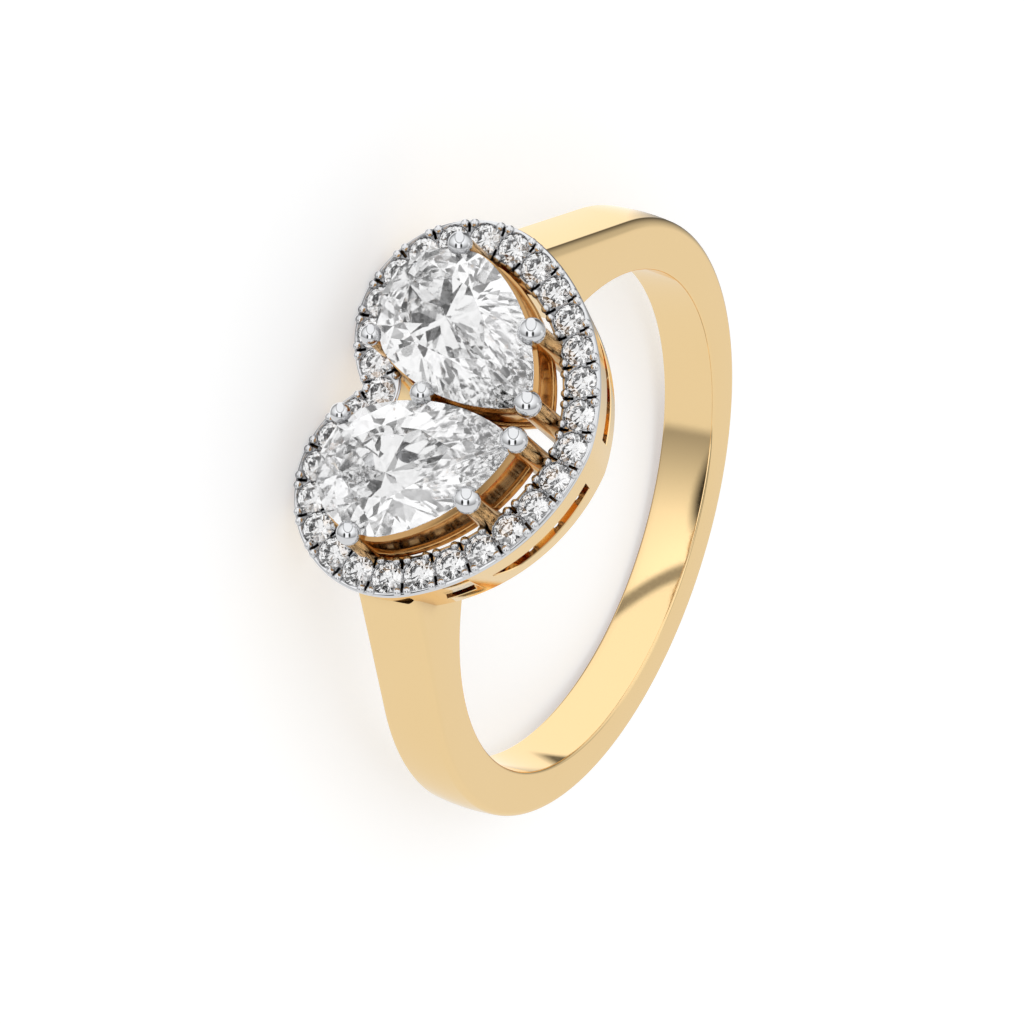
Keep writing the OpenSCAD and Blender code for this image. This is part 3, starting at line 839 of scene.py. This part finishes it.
def make_light_tent(right, up, back):
    """A white tent of soft light round the ring, which the polished metal mirrors.

    Places in the tent are given as they show in a mirror ball at the ring: across and high, each from -1
    to 1. The patches of light and shade are laid one over another. The stones refract light and dark
    cards in the tent's place.
    """
    world = bpy.data.worlds.new("light_tent")
    bpy.context.scene.world = world
    world.use_nodes = True
    tree = world.node_tree
    direction = tree.nodes.new("ShaderNodeTexCoord").outputs["Generated"]

    def math_node(kind, a, b=0.0, c=0.0):
        node = tree.nodes.new("ShaderNodeMath")
        node.operation = kind
        for socket, value in zip(node.inputs, (a, b, c)):
            if isinstance(value, (int, float)):
                socket.default_value = value
            else:
                tree.links.new(value, socket)
        return node.outputs[0]

    def part_along(axis):
        """How much of the direction points along an axis."""
        node = tree.nodes.new("ShaderNodeVectorMath")
        node.operation = "DOT_PRODUCT"
        tree.links.new(direction, node.inputs[0])
        node.inputs[1].default_value = axis
        return node.outputs["Value"]

    facing = math_node("MULTIPLY_ADD", part_along(back), 2.0, 2.0)
    spread = math_node("SQRT", math_node("MAXIMUM", facing, 0.0001))
    across = math_node("DIVIDE", part_along(right), spread)
    high = math_node("DIVIDE", part_along(up), spread)

    def times(a, b):
        return math_node("MULTIPLY", a, b)

    def away(value, middle):
        """How far a value is from its middle."""
        return math_node("ABSOLUTE", math_node("SUBTRACT", value, middle))

    def rising(value, low, high_end):
        """0 up to the low end and 1 from the high end."""
        return ranged(tree, value, low, high_end, 0.0, 1.0)

    def falling(value, low, high_end):
        """1 up to the low end and 0 from the high end."""
        return ranged(tree, value, low, high_end, 1.0, 0.0)

    def ellipse(x, y, wide, tall):
        """0 in the middle of an ellipse and 1 at its edge."""
        a = math_node("DIVIDE", math_node("SUBTRACT", across, x), wide)
        b = math_node("DIVIDE", math_node("SUBTRACT", high, y), tall)
        return math_node("SQRT", math_node("ADD", times(a, a), times(b, b)))

    def patch(x, y, half_w, half_h):
        """1 inside a rectangle with soft edges, 0 outside."""
        beside = falling(away(across, x), half_w - 0.012, half_w + 0.012)
        above = falling(away(high, y), half_h - 0.015, half_h + 0.015)
        return times(beside, above)

    def mixed(base, value, share):
        """A value laid over another by a share."""
        return math_node("MULTIPLY_ADD", math_node("SUBTRACT", value, base), share, base)

    # A bright dome that fades to its sides, and below its curved foot a calm band with a calm patch
    over = math_node("ADD", high, math_node("MULTIPLY_ADD", times(across, across), -0.42, 0.43))
    dome = ranged(tree, ellipse(-0.04, 0.22, 0.95, 0.7), 0.35, 1.0, 1.3, 0.5)
    dome = times(dome, ranged(tree, over, 0.0, 0.35, 0.6, 1.0))
    light = mixed(dome, 0.86, falling(over, -0.02, 0.02))
    light = mixed(light, 0.84, falling(ellipse(0.93, -0.32, 0.34, 0.32), 0.85, 1.1))

    # Dusk round the upper rim, deeper on the right, and a bright edge on the left
    shade = times(rising(ellipse(0.0, 0.0, 0.87, 0.78), 0.95, 1.03), rising(high, -0.2, -0.05))
    dusk = mixed(0.36, ranged(tree, high, -0.1, 0.75, 0.82, 0.14), rising(across, -0.1, 0.1))
    light = mixed(light, dusk, shade)
    edge = times(rising(ellipse(0.0, 0.0, 1.0, 1.0), 0.92, 0.94), rising(high, -0.3, 0.0))
    light = mixed(light, 1.12, times(edge, falling(across, 0.24, 0.4)))

    # The round lamp with its grey seam, two small lights and two dark bars
    lamp = ellipse(-0.04, 0.5, 0.36, 0.46)
    light = mixed(light, 1.13, falling(lamp, 0.98, 1.02))
    seam = times(falling(away(lamp, 1.0), 0.04, 0.1), falling(high, 0.6, 0.75))
    light = mixed(light, 0.35, seam)
    light = mixed(light, 1.25, patch(-0.12, -0.22, 0.13, 0.15))
    light = mixed(light, 1.1, falling(ellipse(0.71, 0.0, 0.08, 0.1), 0.7, 1.1))
    for bar_x in (-0.32, 0.1):
        light = mixed(light, 0.03, falling(ellipse(bar_x, -0.17, 0.09, 0.2), 0.7, 1.1))

    # Black, grey and white cards for the stones
    cards = tree.nodes.new("ShaderNodeTexVoronoi")
    cards.inputs["Scale"].default_value = 3.0
    tree.links.new(direction, cards.inputs["Vector"])
    split = tree.nodes.new("ShaderNodeSeparateColor")
    tree.links.new(cards.outputs["Color"], split.inputs["Color"])
    card = split.outputs["Red"]
    fire = ranged(tree, card, 0.17, 0.175, 0.02, 0.42)
    fire = mixed(fire, 1.06, rising(card, 0.36, 0.365))
    path = tree.nodes.new("ShaderNodeLightPath")
    light = mixed(light, fire, path.outputs["Is Transmission Ray"])
    background = tree.nodes["Background"]
    tree.links.new(light, background.inputs["Strength"])
    background.inputs["Color"].default_value = (1.0, 1.0, 1.0, 1.0)


# Each metal's recess colour is painted shade, laid in where ambient occlusion finds a hollow
gold = polished_metal(
    "polished_yellow_gold",
    colours=((0.955, 0.70, 0.365), (0.965, 0.715, 0.38)),
    painted_shade_colour=(0.32, 0.15, 0.05),
    edge_colour=(1.0, 0.96, 0.88),
    roughness=(0.06, 0.1),
    relief=1e-6,
)
# A rougher copy of the gold, darker all over as painted shade, for the baskets, shafts and pegs under the
# halo
shade_painted_gold = polished_metal(
    "satin_gold_with_painted_shade",
    colours=((0.62, 0.36, 0.14), (0.70, 0.42, 0.18)),
    painted_shade_colour=(0.52, 0.31, 0.13),
    edge_colour=(1.0, 0.94, 0.82),
    roughness=(0.1, 0.18),
    relief=2e-6,
)
white = polished_metal(
    "rhodium_plated_metal",
    colours=((0.74, 0.75, 0.765), (0.78, 0.785, 0.8)),
    painted_shade_colour=(0.16, 0.16, 0.17),
    edge_colour=(1.0, 1.0, 1.0),
    roughness=(0.05, 0.08),
    relief=5e-7,
)
pear_diamond = cut_diamond("pear_diamond", 0.025)
small_diamond = cut_diamond("small_diamond", 0.0)

make_hoop(gold)
make_gallery(gold)
make_basket(shade_painted_gold, -1, "basket_left")
make_basket(shade_painted_gold, 1, "basket_right")
make_shafts(shade_painted_gold)
make_plate(white)
make_beads(white)
make_pegs(shade_painted_gold)
for number, each in enumerate(PRONGS, 1):
    make_ball(white, number, each)
make_small_stones(small_diamond)
settle(pear_stone("pear_brilliant_left", -1, 0), pear_diamond, "diamond", ["pear_stone_left"], sharp=0)
settle(pear_stone("pear_brilliant_right", 1, 0), pear_diamond, "diamond", ["pear_stone_right"], sharp=0)

make_floor()
make_light_tent(*make_camera())
scene = bpy.context.scene
scene.view_settings.view_transform = "Standard"
scene.cycles.max_bounces = 24
scene.cycles.transmission_bounces = 20
scene.cycles.glossy_bounces = 16
scene.cycles.diffuse_bounces = 3
scene.cycles.sample_clamp_indirect = 8
